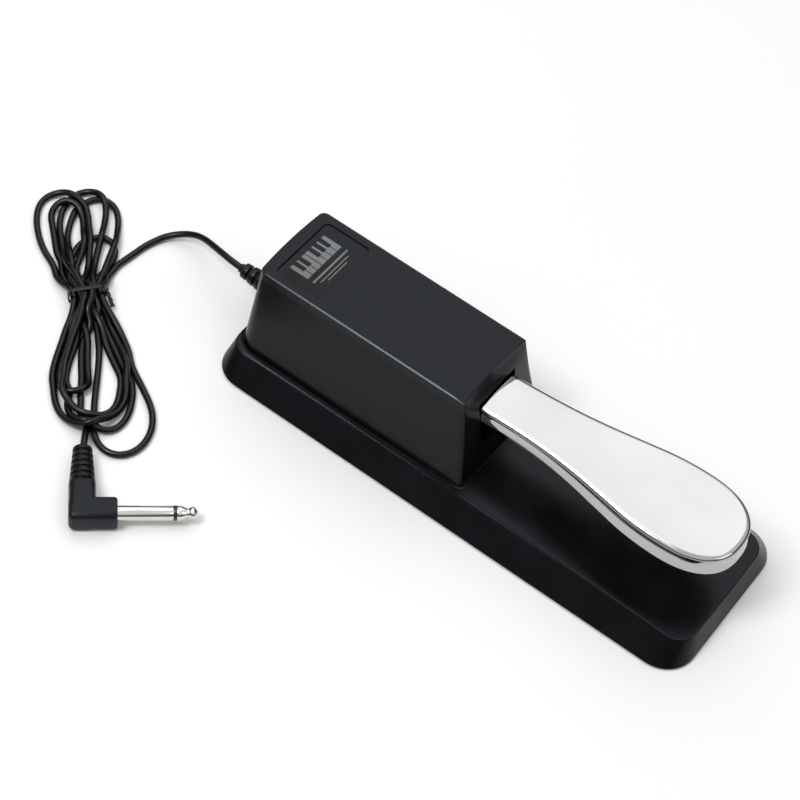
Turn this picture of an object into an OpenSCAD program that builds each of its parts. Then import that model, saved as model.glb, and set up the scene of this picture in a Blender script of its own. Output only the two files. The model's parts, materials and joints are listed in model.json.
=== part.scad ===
// Sustain pedal: a chrome foot pedal on a weighted plastic base, with a tied cord and a jack plug.
// Origin on the floor under the middle of the base. +Y points to the cord end, +Z up. Millimetres.

/* [Base] */
// Length of the base at the floor
base_len = 240; // [232:1:250]
// Width of the base at the floor
base_wid = 84; // [80:1:90]
// Height of the deck above the floor
deck_z = 12; // [11.5:0.25:13]
// Length of the deck along its top edge
deck_len = 233; // [228:1:240]
// Width of the deck along its top edge
deck_wid = 65; // [64:1:70]
// Wall thickness of the moulded shell
wall = 2.5; // [2.2:0.1:2.8]
// Thickness of the rubber mat
mat_t = 2.5; // [2.5:0.1:3]
// Thickness of the steel base plate
plate_t = 2; // [1.8:0.1:2.2]

/* [Housing] */
// Height of the housing's flat top
top_z = 55; // [54:0.5:58]
// Width of the housing's flat top
top_wid = 43; // [42:0.5:48]
// Width of the housing at the deck
foot_wid = 59; // [57:0.5:60]
// Front edge of the housing's top
top_front_y = 6.5; // [5:0.5:8]
// Rear edge of the housing's top
top_rear_y = 112; // [110:0.5:113]
// Front edge of the housing at the deck
foot_front_y = -3; // [-5:0.5:-2]
// Rear edge of the housing at the deck
foot_rear_y = 116.5; // [115:0.5:117]
// Depth of the label recess in the top
recess_depth = 1; // [0.6:0.1:1.4]

/* [Pedal] */
// Half width of the pedal at its neck
neck_half = 12; // [11.5:0.1:12.5]
// Half width of the pedal at its widest
toe_half = 21; // [18:0.5:24]
// Where the pedal is widest, along Y
widest_y = -82; // [-86:1:-78]
// Tip of the pedal's toe, along Y
toe_y = -114.5; // [-116:0.5:-110]
// Height of the pedal's top surface where it leaves the housing
root_z = 44.5; // [44:0.1:45]
// Upward slope of the pedal towards its toe, in degrees
pedal_tilt = 1.75; // [1:0.25:2.5]
// Thickness of the pedal plate
pedal_t = 2; // [1.5:0.1:2.2]
// Depth of the flange around the pedal's edge
flange_h = 8; // [6:0.5:9]

/* [Mechanism] */
// Pivot axle position along Y
pivot_y = 72; // [70:0.5:74]
// Pivot axle height
pivot_z = 30; // [29.5:0.1:30.5]
// Radius of the pivot axle
axle_r = 2.5; // [2.4:0.1:2.6]
// Radial running clearance of the bushes on the axle
run_gap = 0.05; // [0.02:0.01:0.08]
// Position of the return spring along Y
spring_y = 28; // [26:0.5:30]
// Number of turns in the return spring
spring_turns = 7; // [5:1:9]
// Wire diameter of the return spring
spring_wire = 1.4; // [1:0.1:1.6]

/* [Cord] */
// Diameter of the cord
cord_d = 3; // [2.8:0.1:3.2]
// Height of the cord's exit above the floor
gland_z = 17; // [16:0.5:18]
// End of the gland's boot, along Y
gland_end_y = 137; // [135:0.5:140]

/* [Plug] */
// Radius of the plug's shaft
jack_r = 3.175; // [3.15:0.005:3.2]
// Radius of the moulded grip
grip_r = 5.6; // [5:0.1:6]

/* [Hidden] */
$fn = 48;
eps = 0.01;

// Base
base_corner = 14.5;
deck_corner = 8.5;
skirt_z = 0.8;
plate_z = mat_t;
floor_z = mat_t + plate_t;
mat_inset = 5.2;
plate_inset = 7.5;

// Housing
edge_r = 2.5;
deck_front_y = 0.5 - deck_len / 2;
slot_half = 14.5;
slot_top_z = root_z + 1.8;
slot_low_z = 24;
recess_x = 17;
recess_y = [83, 106];
recess_r = 2;
stop_rib = [8, 22, 30];
stop_pad_z = [44.2, 46.5];
boss_r = 3.6;
boss_hole_r = 1.5;
boss_spots = [[24, -104, 9.8], [27, -40, 9.8], [19, 108, 22]];
// half the thickness of the webs that tie the rear bosses to the rear wall, and where they end inside that wall
rear_web = [1, 114.4];
cord_hole_r = 4;

// Screws: head radius, head height and thread radius
shell_screw = [2.9, 1.8, boss_hole_r];
shell_screw_len = 7;
bracket_screw = [2.8, 1.8, 1.5];
small_screw = [2.3, 1.5, 1.25];
plate_hole_r = 1.8;
mat_hole_r = 3.8;
drill_h = 24;

// Pedal, drawn flat and then tilted about the middle of its neck
neck_y = 4;
tongue_y = 48;
flange_end_y = 12;
flare_start_y = -12;
toe_power = 2.6;
arm_half = 9.8;
arm_t = 1.5;
web_t = 2;
arm_y = [5.5, 94];
arm_h = 17.5;
rivet_y = [14, 42];
rivet_r = 2.5;
rivet_head_r = 3.4;
rivet_head_t = 1.3;
web_z = -pedal_t - web_t;

// Pivot
bush_r = 4;
bush_flange_r = 5.5;
bush_flange_t = 1.8;
ear_x = arm_half + bush_flange_t + 0.6;
ear_t = 1.6;
axle_half = 15.6;
clip_r = 4.4;
clip_groove_r = 2;
clip_t = 0.8;
bracket_y = [62, 82];
bracket_foot_x = 24;
bracket_spots = [[19.5, 67], [19.5, 77]];

// Return spring
coil_r = 6.3;
cup_r = 9;
cup_t = 3.5;
spring_low_z = floor_z + cup_t;
spring_high_z = 38.2;
cup_spigot = [4.4, 4];
guide_flange = [7.8, 1.5];
guide_spigot = [4.2, 6];

// Stop under the pedal's lever
down_stop_half = 12;
down_stop_y = [11, 18];
down_stop_z = 17;

// Micro switch
switch_x = 3.2;
switch_y = [38, 58];
switch_z = [20, 30];
switch_hinge = [41, 31.2];
lever_rise = 10;
lever_reach = 14.8;
lever_t = 0.5;
lever_half = 2;
plunger_y = 46;
plunger_r = 1;
pad_y = [52.8, 56.2];
pad_drop = 7.95;
pad_half = 2.5;
hinge_r = 0.5;
hinge_ears = [39, 43];
knuckle_r = 1;
plunger_depth = 2.8;
switch_screw_spots = [[41, 22.5], [55, 22.5]];
switch_screw = [2, 1.2, 1.1];
switch_bracket_z = 28;
switch_bracket_x = 14;
switch_foot_spots = [[10.5, 43], [10.5, 53]];
terminal_spots = [41, 48, 55];
terminal_z = 14.5;
terminal_half = [0.4, 1.2];

// Circuit board and polarity switch
board_z = 12;
board_t = 1.6;
board_x = [-24, 8];
board_y = [88, 104];
spacer_spots = [[-20, 91], [4, 91]];
polarity_x = [-16, -4];
polarity_y = [97, 103];
slider_x = -11.5;
slider_travel = 3;
slider_half = 1.9;
slider_y = [98.6, 101.4];
slider_z = [0.9, 8.1];
slot_gap = 0.3;
window_gap = 1.1;
spacer_r = 2.6;

// Clamp that holds the cable's inner end
clamp_x = [13.4, 25];
clamp_y = [95, 98.5];
clamp_top_z = 11.6;
clamp_spot = [21.6, 96.75];
cable_end = [16, 94, 8.6];

// Inside: the cord's inner end, and the wires to the board and on to the switch
inner_route = [[0, 110, 17], [1.5, 107.2, 16.6], [5, 106.2, 15], [9.5, 105.8, 12.3],
               [13.5, 104.8, 9.8], [16, 101.5, 8.7], [16, 97, 8.6], [16, 94, 8.6]];
wire_r = 0.5;

// Cord gland: flange inside the wall, neck through it, collar and boot outside
gland_flange_r = 5.5;
gland_flange_y = [110, 112];
gland_neck_r = 3.9;
gland_collar = [5, 1.8];
boot_r = [3.6, 2.2];
boot_y = foot_rear_y + 0.6;
boot_rib_r = 4.5;
boot_rib_w = 2.4;
boot_rib_step = 3.5;

// Cord route: straight out of the boot, down to the floor and round to the tied hank
gland_route = [[0, 137, 17], [0.5, 142, 16.7], [2, 148, 15.4], [4.5, 155, 12.8], [7, 162, 9.8],
               [8, 168, 7], [6.5, 174, 4.4], [2, 179.5, 2.4], [-6, 183, 1.6], [-16, 184.5, 1.6],
               [-25, 185.4, 1.8], [-32, 185.4, 2.8], [-37.5, 184.2, 4.2]];
lead_route = [[-99, 139.2, 2.2], [-102, 136.8, 3.2], [-105, 134.9, 4.6], [-107.8, 132.9, 5.5],
              [-110.6, 131, 5.6]];

// Tied hank, lying flat; its own X axis runs from the tie towards the upper loops
hank_at = [-48, 183];
hank_turn = 51.5;
hank_h = 7;
waist_half = 7.7;
waist_z = [1, 9.2];
upper_loops = [42, -4, 18];
lower_loops = [-63, 2, 16.5];
tie_half = 2.2;
tie_t = 1;
tie_tail = [12, 0.9, 20];

// Plug, lying flat; its own X axis runs along the shaft and its Y axis towards the cord
plug_at = [-135.6, 110];
plug_turn = -49.5;
arm_end = 14.3;
sleeve_end = 36.9;
ring_end = 38.3;
tip_end = 47.2;
jack_root_r = 2.8;
jack_gap = 0.2;
bore_r = 1.9;
rod_r = 1.2;
grip_back = 8;
relief_y = [14.5, 32.7];
relief_r = [4.8, 3.4];
relief_rib_r = 5.4;
relief_rib_w = 1.6;
relief_rib_step = 3;
tip_profile = [[2, 4.6], [2, 4], [2.75, 2.8], [2.6, 1.8], [0.5, 0], [0, 0]];
tip_collar = 1.6;

// ---------- helpers ----------
function lerp(a, b, t) = a + (b - a) * t;
function ease(t) = t * t * (3 - 2 * t);
function unit(v) = v / norm(v);

// Direction of a route at point i
function heading(p, i) = unit(p[min(i + 1, len(p) - 1)] - p[max(i - 1, 0)]);

// One ring of a tube around a route point
function ring(p, i, r, n) =
    let (t = heading(p, i), s = unit(cross(t, [0, 0, 1])), u = cross(s, t))
    [for (k = [0:n - 1]) p[i] + r * (s * cos(360 * k / n) + u * sin(360 * k / n))];

// Point halfway between two route points, bent to follow the curve
function halfway(p, i) =
    (9 * (p[i] + p[i + 1]) - p[max(i - 1, 0)] - p[min(i + 2, len(p) - 1)]) / 16;

function refine(p) = [for (i = [0:2 * len(p) - 2]) i % 2 == 0 ? p[i / 2] : halfway(p, floor(i / 2))];

module tube(p, r, n = 8) {
    points = [for (i = [0:len(p) - 1]) each ring(p, i, r, n)];
    sides = [for (i = [0:len(p) - 2], k = [0:n - 1])
        [i * n + k, i * n + (k + 1) % n, (i + 1) * n + (k + 1) % n, (i + 1) * n + k]];
    first = [for (k = [n - 1:-1:0]) k];
    last = [for (k = [0:n - 1]) (len(p) - 1) * n + k];
    polyhedron(points, concat([first], sides, [last]), convexity = 8);
}

// Flat outline of a rectangle centred on X with rounded corners
module rounded_rect(wid, y0, y1, r) {
    translate([-wid / 2 + r, y0]) square([wid - 2 * r, y1 - y0]);
    translate([-wid / 2, y0 + r]) square([wid, y1 - y0 - 2 * r]);
    for (x = [-1, 1], y = [y0 + r, y1 - r]) translate([x * (wid / 2 - r), y]) circle(r);
}

module slab(wid, y0, y1, r, z, t = eps) {
    translate([0, 0, z]) linear_extrude(t) rounded_rect(wid, y0, y1, r);
}

module along_x(x0, x1, r) {
    translate([x0, 0, 0]) rotate([0, 90, 0]) cylinder(h = x1 - x0, r = r);
}

module along_y(y0, y1, r, r_end = -1) {
    translate([0, y0, 0]) rotate([-90, 0, 0]) cylinder(h = y1 - y0, r1 = r, r2 = r_end < 0 ? r : r_end);
}

module block(x, y, z) {
    translate([x[0], y[0], z[0]]) cube([x[1] - x[0], y[1] - y[0], z[1] - z[0]]);
}

module both_sides() {
    children();
    mirror([1, 0, 0]) children();
}

// Screw standing on its head's underside, thread up
module screw_up(spot, z, size, length) {
    translate([spot[0], spot[1], z - size[1]]) cylinder(h = size[1], r = size[0]);
    translate([spot[0], spot[1], z]) cylinder(h = length, r = size[2]);
}

// Screw with its head on top of a plate, thread down
module screw_down(spot, z, size, length) {
    translate([spot[0], spot[1], z]) cylinder(h = size[1], r = size[0]);
    translate([spot[0], spot[1], z - length]) cylinder(h = length + eps, r = size[2]);
}

// Upright hole through everything at a spot
module drill(spot, r) {
    translate([spot[0], spot[1], -1]) cylinder(h = drill_h, r = r);
}

// ---------- shell, plate and mat ----------
module skirt_form(inset, top) {
    hull() {
        slab(base_wid - 2 * inset, inset - base_len / 2, base_len / 2 - inset,
             base_corner - inset / 2, skirt_z - (inset > 0 ? 1 : 0));
        slab(deck_wid - 2 * inset + (inset > 0 ? 2 : 0), deck_front_y + inset,
             deck_front_y + deck_len - inset, deck_corner - inset / 2, top - eps);
    }
}

module housing_form(inset, low, top) {
    hull() {
        slab(foot_wid - 2 * inset, foot_front_y + inset, foot_rear_y - inset, edge_r, low);
        slab(top_wid - 2 * inset, top_front_y + inset, top_rear_y - inset, edge_r, top - eps);
    }
}

module bosses() {
    both_sides() for (b = boss_spots)
        translate([b[0], b[1], floor_z]) cylinder(h = b[2] + 1.2 - floor_z, r = boss_r);
    rear = boss_spots[2];
    both_sides() block([rear[0] - rear_web[0], rear[0] + rear_web[0]], [rear[1], rear_web[1]],
                       [deck_z + 1, rear[2]]);
}

module boss_holes() {
    both_sides() for (b = boss_spots)
        translate([b[0], b[1], floor_z - eps]) cylinder(h = b[2] - 0.4 - floor_z, r = boss_hole_r);
}

module top_shell() color("#26282b") {
    difference() {
        union() {
            difference() {
                union() {
                    skirt_form(0, deck_z);
                    housing_form(0, deck_z - 1, top_z);
                }
                skirt_form(wall, deck_z - wall);
                housing_form(wall, deck_z - wall - 1, top_z - wall);
                block([-slot_half, slot_half], [foot_front_y - 2, top_front_y + 2 * wall],
                      [slot_low_z, slot_top_z]);
                translate([0, 0, top_z - recess_depth])
                    linear_extrude(recess_depth + 1)
                    rounded_rect(2 * recess_x, recess_y[0], recess_y[1], recess_r);
            }
            bosses();
            block([-stop_rib[0], stop_rib[0]], [stop_rib[1], stop_rib[2]],
                  [stop_pad_z[1], top_z - wall + eps]);
        }
        boss_holes();
        translate([0, 0, gland_z]) along_y(foot_rear_y - 8, foot_rear_y + 2, cord_hole_r);
    }
}

module screw_holes(r) {
    both_sides() for (b = boss_spots) drill(b, r);
}

module slider_window() {
    block([slider_x - slider_half - window_gap, slider_x + slider_travel + slider_half + window_gap],
          [slider_y[0] - window_gap, slider_y[1] + window_gap], [-1, floor_z + 1]);
}

module base_plate() color("#8d9094") {
    difference() {
        translate([0, 0, plate_z]) linear_extrude(plate_t)
            rounded_rect(base_wid - 2 * plate_inset, plate_inset - base_len / 2,
                         base_len / 2 - plate_inset, base_corner - plate_inset / 2);
        screw_holes(plate_hole_r);
        slider_window();
        both_sides() for (s = bracket_spots) drill(s, bracket_screw[2]);
        for (s = concat(switch_foot_spots, spacer_spots, [clamp_spot])) drill(s, small_screw[2]);
    }
}

module rubber_mat() color("#1a1a1b") {
    difference() {
        linear_extrude(mat_t)
            rounded_rect(base_wid - 2 * mat_inset, mat_inset - base_len / 2,
                         base_len / 2 - mat_inset, base_corner - mat_inset / 2);
        screw_holes(mat_hole_r);
        slider_window();
    }
}

module shell_screws() color("silver") {
    both_sides() for (b = boss_spots) screw_up(b, plate_z, shell_screw, shell_screw_len);
}

// ---------- pivot ----------
module pivot_bracket() color("#b9bcc0") {
    difference() {
        union() {
            block([-ear_x - ear_t, ear_x + ear_t], bracket_y, [floor_z, floor_z + ear_t]);
            both_sides() {
                block([ear_x, ear_x + ear_t], bracket_y, [floor_z, pivot_z + 7]);
                block([ear_x, bracket_foot_x], bracket_y, [floor_z, floor_z + ear_t]);
            }
        }
        translate([0, pivot_y, pivot_z]) along_x(-30, 30, axle_r);
        both_sides() for (s = bracket_spots) drill(s, bracket_screw[2]);
    }
}

module bracket_screws() color("silver") {
    both_sides() for (s = bracket_spots)
        screw_down(s, floor_z + ear_t, bracket_screw, ear_t + plate_t);
}

module pivot_axle() color("silver") {
    translate([0, pivot_y, pivot_z]) difference() {
        along_x(-axle_half, axle_half, axle_r);
        both_sides() difference() {
            along_x(ear_x + ear_t, ear_x + ear_t + clip_t, axle_r + 1);
            along_x(ear_x, ear_x + ear_t + 2 * clip_t, clip_groove_r);
        }
    }
}

module axle_clips() color("#5f6266") {
    translate([0, pivot_y, pivot_z]) both_sides() difference() {
        along_x(ear_x + ear_t, ear_x + ear_t + clip_t, clip_r);
        along_x(ear_x, ear_x + ear_t + 2 * clip_t, clip_groove_r);
        block([ear_x, ear_x + 4], [-1, 1], [0, 2 * clip_r]);
    }
}

// ---------- pedal and lever ----------
// Places drawings whose top face is Z = 0 and whose neck is at Y = neck_y on the tilted pedal
module on_pedal() {
    translate([0, neck_y, root_z]) rotate([-pedal_tilt, 0, 0]) translate([0, -neck_y, 0]) children();
}

// Half of the pedal's edge, from the neck to the toe, drawn in by an inset
function flare(y) = ease(max(0, min(1, (flare_start_y - y) / (flare_start_y - widest_y))));
function pedal_half(inset, y_end) = concat(
    [[neck_half - inset, y_end]],
    [for (i = [0:10]) let (y = lerp(neck_y, widest_y, i / 10))
        [lerp(neck_half, toe_half, flare(y)) - inset, y]],
    [for (a = [9:9:81])
        [(toe_half - inset) * pow(cos(a), 2 / toe_power),
         widest_y - (widest_y - toe_y - inset) * pow(sin(a), 2 / toe_power)]],
    [[0, toe_y + inset]]);

module pedal_outline(inset, y_end) {
    edge = pedal_half(inset, y_end);
    polygon(concat(edge, [for (i = [len(edge) - 2:-1:0]) [-edge[i][0], edge[i][1]]]));
}

module pedal_plate() color("#e9eaec") {
    on_pedal() difference() {
        union() {
            translate([0, 0, -pedal_t]) linear_extrude(pedal_t) pedal_outline(0, tongue_y);
            translate([0, 0, -flange_h]) linear_extrude(flange_h) pedal_outline(0, flange_end_y);
        }
        translate([0, 0, -flange_h - 1]) linear_extrude(flange_h - pedal_t + 1)
            pedal_outline(pedal_t, flange_end_y + 1);
        for (y = rivet_y) translate([0, y, -pedal_t - 1]) cylinder(h = pedal_t + 2, r = rivet_r);
    }
}

module lever_arm() color("#a9acb0") {
    difference() {
        on_pedal() difference() {
            block([-arm_half, arm_half], arm_y, [-pedal_t - arm_h, -pedal_t]);
            block([-arm_half + arm_t, arm_half - arm_t], [arm_y[0] - 1, arm_y[1] + 1],
                  [-pedal_t - arm_h - 1, web_z]);
            for (y = rivet_y) translate([0, y, web_z - 1]) cylinder(h = web_t + 2, r = rivet_r);
        }
        translate([0, pivot_y, pivot_z]) along_x(-30, 30, bush_r);
    }
}

module pedal_rivets() color("#c8cacd") {
    on_pedal() for (y = rivet_y) translate([0, y, 0]) {
        cylinder(h = rivet_head_t, r = rivet_head_r);
        translate([0, 0, web_z - eps]) cylinder(h = -web_z + 2 * eps, r = rivet_r);
        translate([0, 0, web_z - rivet_head_t]) cylinder(h = rivet_head_t, r = rivet_head_r);
    }
}

module pivot_bushes() color("#efeee8") {
    translate([0, pivot_y, pivot_z]) both_sides() difference() {
        union() {
            along_x(arm_half - arm_t - 0.5, arm_half + 1, bush_r);
            along_x(arm_half, arm_half + bush_flange_t, bush_flange_r);
        }
        along_x(0, 30, axle_r + run_gap);
    }
}

module spring_guide() color("#efeee8") {
    on_pedal() translate([0, spring_y, web_z]) {
        translate([0, 0, -guide_flange[1]]) cylinder(h = guide_flange[1], r = guide_flange[0]);
        translate([0, 0, -guide_spigot[1]]) cylinder(h = guide_spigot[1], r = guide_spigot[0]);
    }
}

module contact_pad() color("#efeee8") {
    on_pedal() block([-pad_half, pad_half], pad_y, [-pad_drop, web_z]);
}

// ---------- spring and stops ----------
module spring_cup() color("#efeee8") {
    translate([0, spring_y, floor_z]) {
        cylinder(h = cup_t, r = cup_r);
        cylinder(h = cup_t + cup_spigot[1], r = cup_spigot[0]);
    }
}

// Closed end turns, open turns between them
function spring_height(t) = lerp(spring_low_z + spring_wire / 2, spring_high_z - spring_wire / 2,
                                 ease(ease(t)) * 0.35 + t * 0.65);

module return_spring() color("#9a9da1") {
    steps = 14 * spring_turns;
    route = [for (i = [0:steps])
        let (a = 360 * spring_turns * i / steps)
        [coil_r * cos(a), spring_y + coil_r * sin(a), spring_height(i / steps)]];
    tube(route, spring_wire / 2, 6);
}

module up_stop() color("#3b3b3d") {
    block([-stop_rib[0], stop_rib[0]], [stop_rib[1], stop_rib[2]], stop_pad_z);
}

module down_stop() color("#1f1f20") {
    block([-down_stop_half, down_stop_half], down_stop_y, [floor_z, down_stop_z]);
}

// ---------- micro switch ----------
module switch_body() color("#1d1d1f") {
    difference() {
        union() {
            block([-switch_x, switch_x], switch_y, switch_z);
            both_sides() block([lever_half + 0.3, switch_x], hinge_ears,
                              [switch_z[1] - 1, switch_hinge[1] + 1]);
        }
        translate([0, plunger_y, switch_z[1] - 4]) cylinder(h = 5, r = plunger_r + run_gap);
        for (s = switch_screw_spots) translate([0, s[0], s[1]]) along_x(-5, 5, switch_screw[2]);
        translate([0, switch_hinge[0], switch_hinge[1]]) along_x(-5, 5, hinge_r);
    }
}

module switch_terminals() color("#c9a35b") {
    for (y = terminal_spots) block([-terminal_half[0], terminal_half[0]],
                                   [y - terminal_half[1], y + terminal_half[1]], [terminal_z, switch_z[0]]);
}

module switch_screws() color("silver") {
    for (s = switch_screw_spots) translate([0, s[0], s[1]]) {
        along_x(-switch_x - switch_screw[1], -switch_x, switch_screw[0]);
        along_x(-switch_x - eps, switch_x + ear_t, switch_screw[2]);
    }
}

module switch_bracket() color("#b9bcc0") {
    difference() {
        union() {
            block([switch_x, switch_x + ear_t], switch_y, [floor_z, switch_bracket_z]);
            block([switch_x, switch_bracket_x], switch_y, [floor_z, floor_z + ear_t]);
        }
        for (s = switch_screw_spots) translate([0, s[0], s[1]]) along_x(0, 9, switch_screw[2]);
        for (s = switch_foot_spots) drill(s, small_screw[2]);
    }
}

module switch_bracket_screws() color("silver") {
    for (s = switch_foot_spots) screw_down(s, floor_z + ear_t, small_screw, ear_t + plate_t);
}

module switch_lever() color("#d0d2d4") {
    translate([0, switch_hinge[0], switch_hinge[1]]) {
        along_x(-switch_x, switch_x, hinge_r - run_gap);
        rotate([lever_rise, 0, 0]) difference() {
            union() {
                along_x(-lever_half, lever_half, knuckle_r);
                block([-lever_half, lever_half], [0, lever_reach], [0.4, 0.4 + lever_t]);
            }
            block([-3, 3], [-2, 2], [-2, -0.6]);
        }
    }
}

module switch_plunger() color("#d8452f") {
    rise = (plunger_y - switch_hinge[0]) * tan(lever_rise);
    translate([0, plunger_y, switch_z[1] - plunger_depth])
        cylinder(h = switch_hinge[1] + rise - switch_z[1] + plunger_depth - run_gap, r = plunger_r);
}

// ---------- electronics ----------
module circuit_board() color("#2f6b3a") {
    difference() {
        block(board_x, board_y, [board_z, board_z + board_t]);
        for (s = spacer_spots) drill(s, small_screw[2]);
    }
}

module board_spacers() color("#d9dadc") {
    for (s = spacer_spots) difference() {
        translate([s[0], s[1], floor_z]) cylinder(h = board_z - floor_z, r = spacer_r);
        drill(s, small_screw[2]);
    }
}

module board_screws() color("silver") {
    for (s = spacer_spots)
        screw_down(s, board_z + board_t, small_screw, board_t + board_z - plate_z);
}

module polarity_switch_body() color("#2a2a2c") {
    difference() {
        block(polarity_x, polarity_y, [floor_z, board_z]);
        block([slider_x - slider_half - slot_gap, slider_x + slider_travel + slider_half + slot_gap],
              [slider_y[0] - slot_gap, slider_y[1] + slot_gap], [floor_z - 1, slider_z[1] + slot_gap]);
    }
}

module polarity_slider() color("#e4e4e2") {
    block([slider_x - slider_half, slider_x + slider_half], slider_y, slider_z);
}

// Round along Y at the gland's height
module at_gland() {
    translate([0, 0, gland_z]) children();
}

module cable_gland() color("#161718") {
    at_gland() {
        along_y(gland_flange_y[0], gland_flange_y[1], gland_flange_r);
        along_y(gland_flange_y[1] - 0.5, boot_y + 0.5, gland_neck_r);
        along_y(boot_y, boot_y + gland_collar[1], gland_collar[0]);
        along_y(boot_y, gland_end_y, boot_r[0], boot_r[1]);
        for (k = [0:3]) let (y = boot_y + gland_collar[1] * 2 + k * boot_rib_step, r = boot_rib_r - 0.35 * k)
            along_y(y, y + boot_rib_w, r, r - 0.3);
    }
}

module inner_cable() color("#1b1b1c") {
    tube(refine(inner_route), cord_d / 2);
}

module cable_clamp() color("#efeee8") {
    difference() {
        block(clamp_x, clamp_y, [floor_z, clamp_top_z]);
        translate(cable_end) along_y(-5, 10, cord_d / 2 + run_gap);
        drill(clamp_spot, small_screw[2]);
    }
}

module clamp_screw() color("silver") {
    screw_down(clamp_spot, clamp_top_z, small_screw, clamp_top_z - plate_z);
}

// Thin insulated wires: two from the cable's end to the board, two from the board to the switch
function board_wire(k) =
    [cable_end + [1.2 * k - 0.6, 0, 0], cable_end + [1.2 * k - 0.6, -2, 1], [14 + k, 91.3, board_z + 0.6],
     [11 + 0.8 * k, 93 - 1.6 * k, 15.4], [5, 96.5 - 2 * k, 16.6], [1, 97.5 - 2 * k, 15.8],
     [0, 98 - 2 * k, board_z + board_t]];
function switch_wire(k) =
    [[-6 - 3 * k, 90, board_z + board_t], [-6 - 3 * k, 87, 15.4], [-7.4, 80, 13 - 3 * k],
     [-7.4, 70, 11 - 3 * k], [-7, 60, 10 - 2 * k], [-4, 56 - 7 * k, 11.4 - k],
     [-1, terminal_spots[2] - 7 * k, 13.2], [0, terminal_spots[2] - 7 * k, terminal_z]];

module switch_wires() color("#a8352b") {
    for (k = [0, 1]) {
        tube(refine(board_wire(k)), wire_r);
        tube(refine(switch_wire(k)), wire_r);
    }
}

// ---------- cord and hank ----------
module cord_from_gland() color("#141415") {
    tube(refine(gland_route), cord_d / 2);
}

module cord_to_plug() color("#141415") {
    tube(refine(lead_route), cord_d / 2);
}

module on_hank() {
    translate([hank_at[0], hank_at[1], 0]) rotate(hank_turn) children();
}

// One fan of loops: round at the far end, narrow at the tie
module loop_fan(end, start_x) {
    side = end[2] * 0.98;
    translate([end[0], end[1]]) circle(end[2]);
    polygon([[start_x, -waist_half], [end[0], end[1] - side], [end[0], end[1] + side],
             [start_x, waist_half]]);
}

module cord_hank() color("#17181a") {
    on_hank() {
        linear_extrude(hank_h) loop_fan(upper_loops, tie_half + 1);
        mirror([1, 0, 0]) linear_extrude(hank_h)
            loop_fan([-lower_loops[0], lower_loops[1], lower_loops[2]], tie_half + 1);
        block([-tie_half - 1.5, tie_half + 1.5], [-waist_half, waist_half], waist_z);
    }
}

module twist_tie() color("#202123") {
    on_hank() {
        difference() {
            block([-tie_half, tie_half], [-waist_half - tie_t, waist_half + tie_t],
                  [waist_z[0] - tie_t, waist_z[1] + tie_t]);
            block([-9, 9], [-waist_half, waist_half], waist_z);
        }
        translate([0, -waist_half, waist_z[0] + tie_half]) rotate([0, 0, tie_tail[2]]) mirror([0, 1, 0])
            along_y(tie_t / 2, tie_tail[0], tie_tail[1]);
    }
}

// ---------- plug ----------
module on_plug() {
    translate([plug_at[0], plug_at[1], grip_r]) rotate(plug_turn) children();
}

module plug_grip() color("#151617") {
    on_plug() difference() {
        union() {
            along_y(-1, relief_y[0], grip_r);
            along_x(-1, arm_end, grip_r);
            sphere(grip_r);
            along_y(relief_y[0] - eps, relief_y[1], relief_r[0], relief_r[1]);
            for (k = [0:5]) let (y = relief_y[0] + 0.8 + relief_rib_step * k, r = relief_rib_r - 0.25 * k)
                along_y(y, y + relief_rib_w, r, r - 0.15);
        }
        along_x(grip_back, arm_end + 1, jack_root_r);
    }
}

module plug_sleeve() color("#d7d4cc") {
    on_plug() difference() {
        union() {
            along_x(grip_back, arm_end + jack_gap, jack_root_r);
            along_x(arm_end + jack_gap, sleeve_end, jack_r);
        }
        along_x(grip_back - 1, sleeve_end + 1, bore_r);
    }
}

module plug_insulator() color("#101011") {
    on_plug() difference() {
        union() {
            along_x(grip_back, sleeve_end, bore_r);
            along_x(sleeve_end, ring_end, jack_r);
        }
        along_x(grip_back - 1, ring_end + 1, rod_r);
    }
}

module plug_tip() color("#d7d4cc") {
    on_plug() {
        along_x(grip_back, ring_end, rod_r);
        rotate([90, 0, 90]) rotate_extrude()
            polygon(concat([[0, ring_end - eps], [jack_r, ring_end], [jack_r, ring_end + tip_collar]],
                           [for (p = tip_profile) [p[0], tip_end - p[1]]]));
    }
}

top_shell();
base_plate();
rubber_mat();
shell_screws();
pivot_bracket();
bracket_screws();
pivot_axle();
axle_clips();
spring_cup();
up_stop();
down_stop();
switch_body();
switch_terminals();
switch_screws();
switch_bracket();
switch_bracket_screws();
circuit_board();
board_spacers();
board_screws();
polarity_switch_body();
polarity_slider();
cable_gland();
cable_clamp();
clamp_screw();
inner_cable();
switch_wires();
pedal_plate();
lever_arm();
pedal_rivets();
pivot_bushes();
spring_guide();
return_spring();
contact_pad();
switch_lever();
switch_plunger();
cord_from_gland();
cord_hank();
cord_to_plug();
twist_tie();
plug_grip();
plug_sleeve();
plug_insulator();
plug_tip();
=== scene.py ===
"""Sustain pedal: chrome pedal in a moulded housing, with a tied cord and a jack plug.
Lengths are in mm until a mesh is made."""

import json
import math

import bmesh
import bpy
import numpy as np
from mathutils import Matrix, Vector


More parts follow.
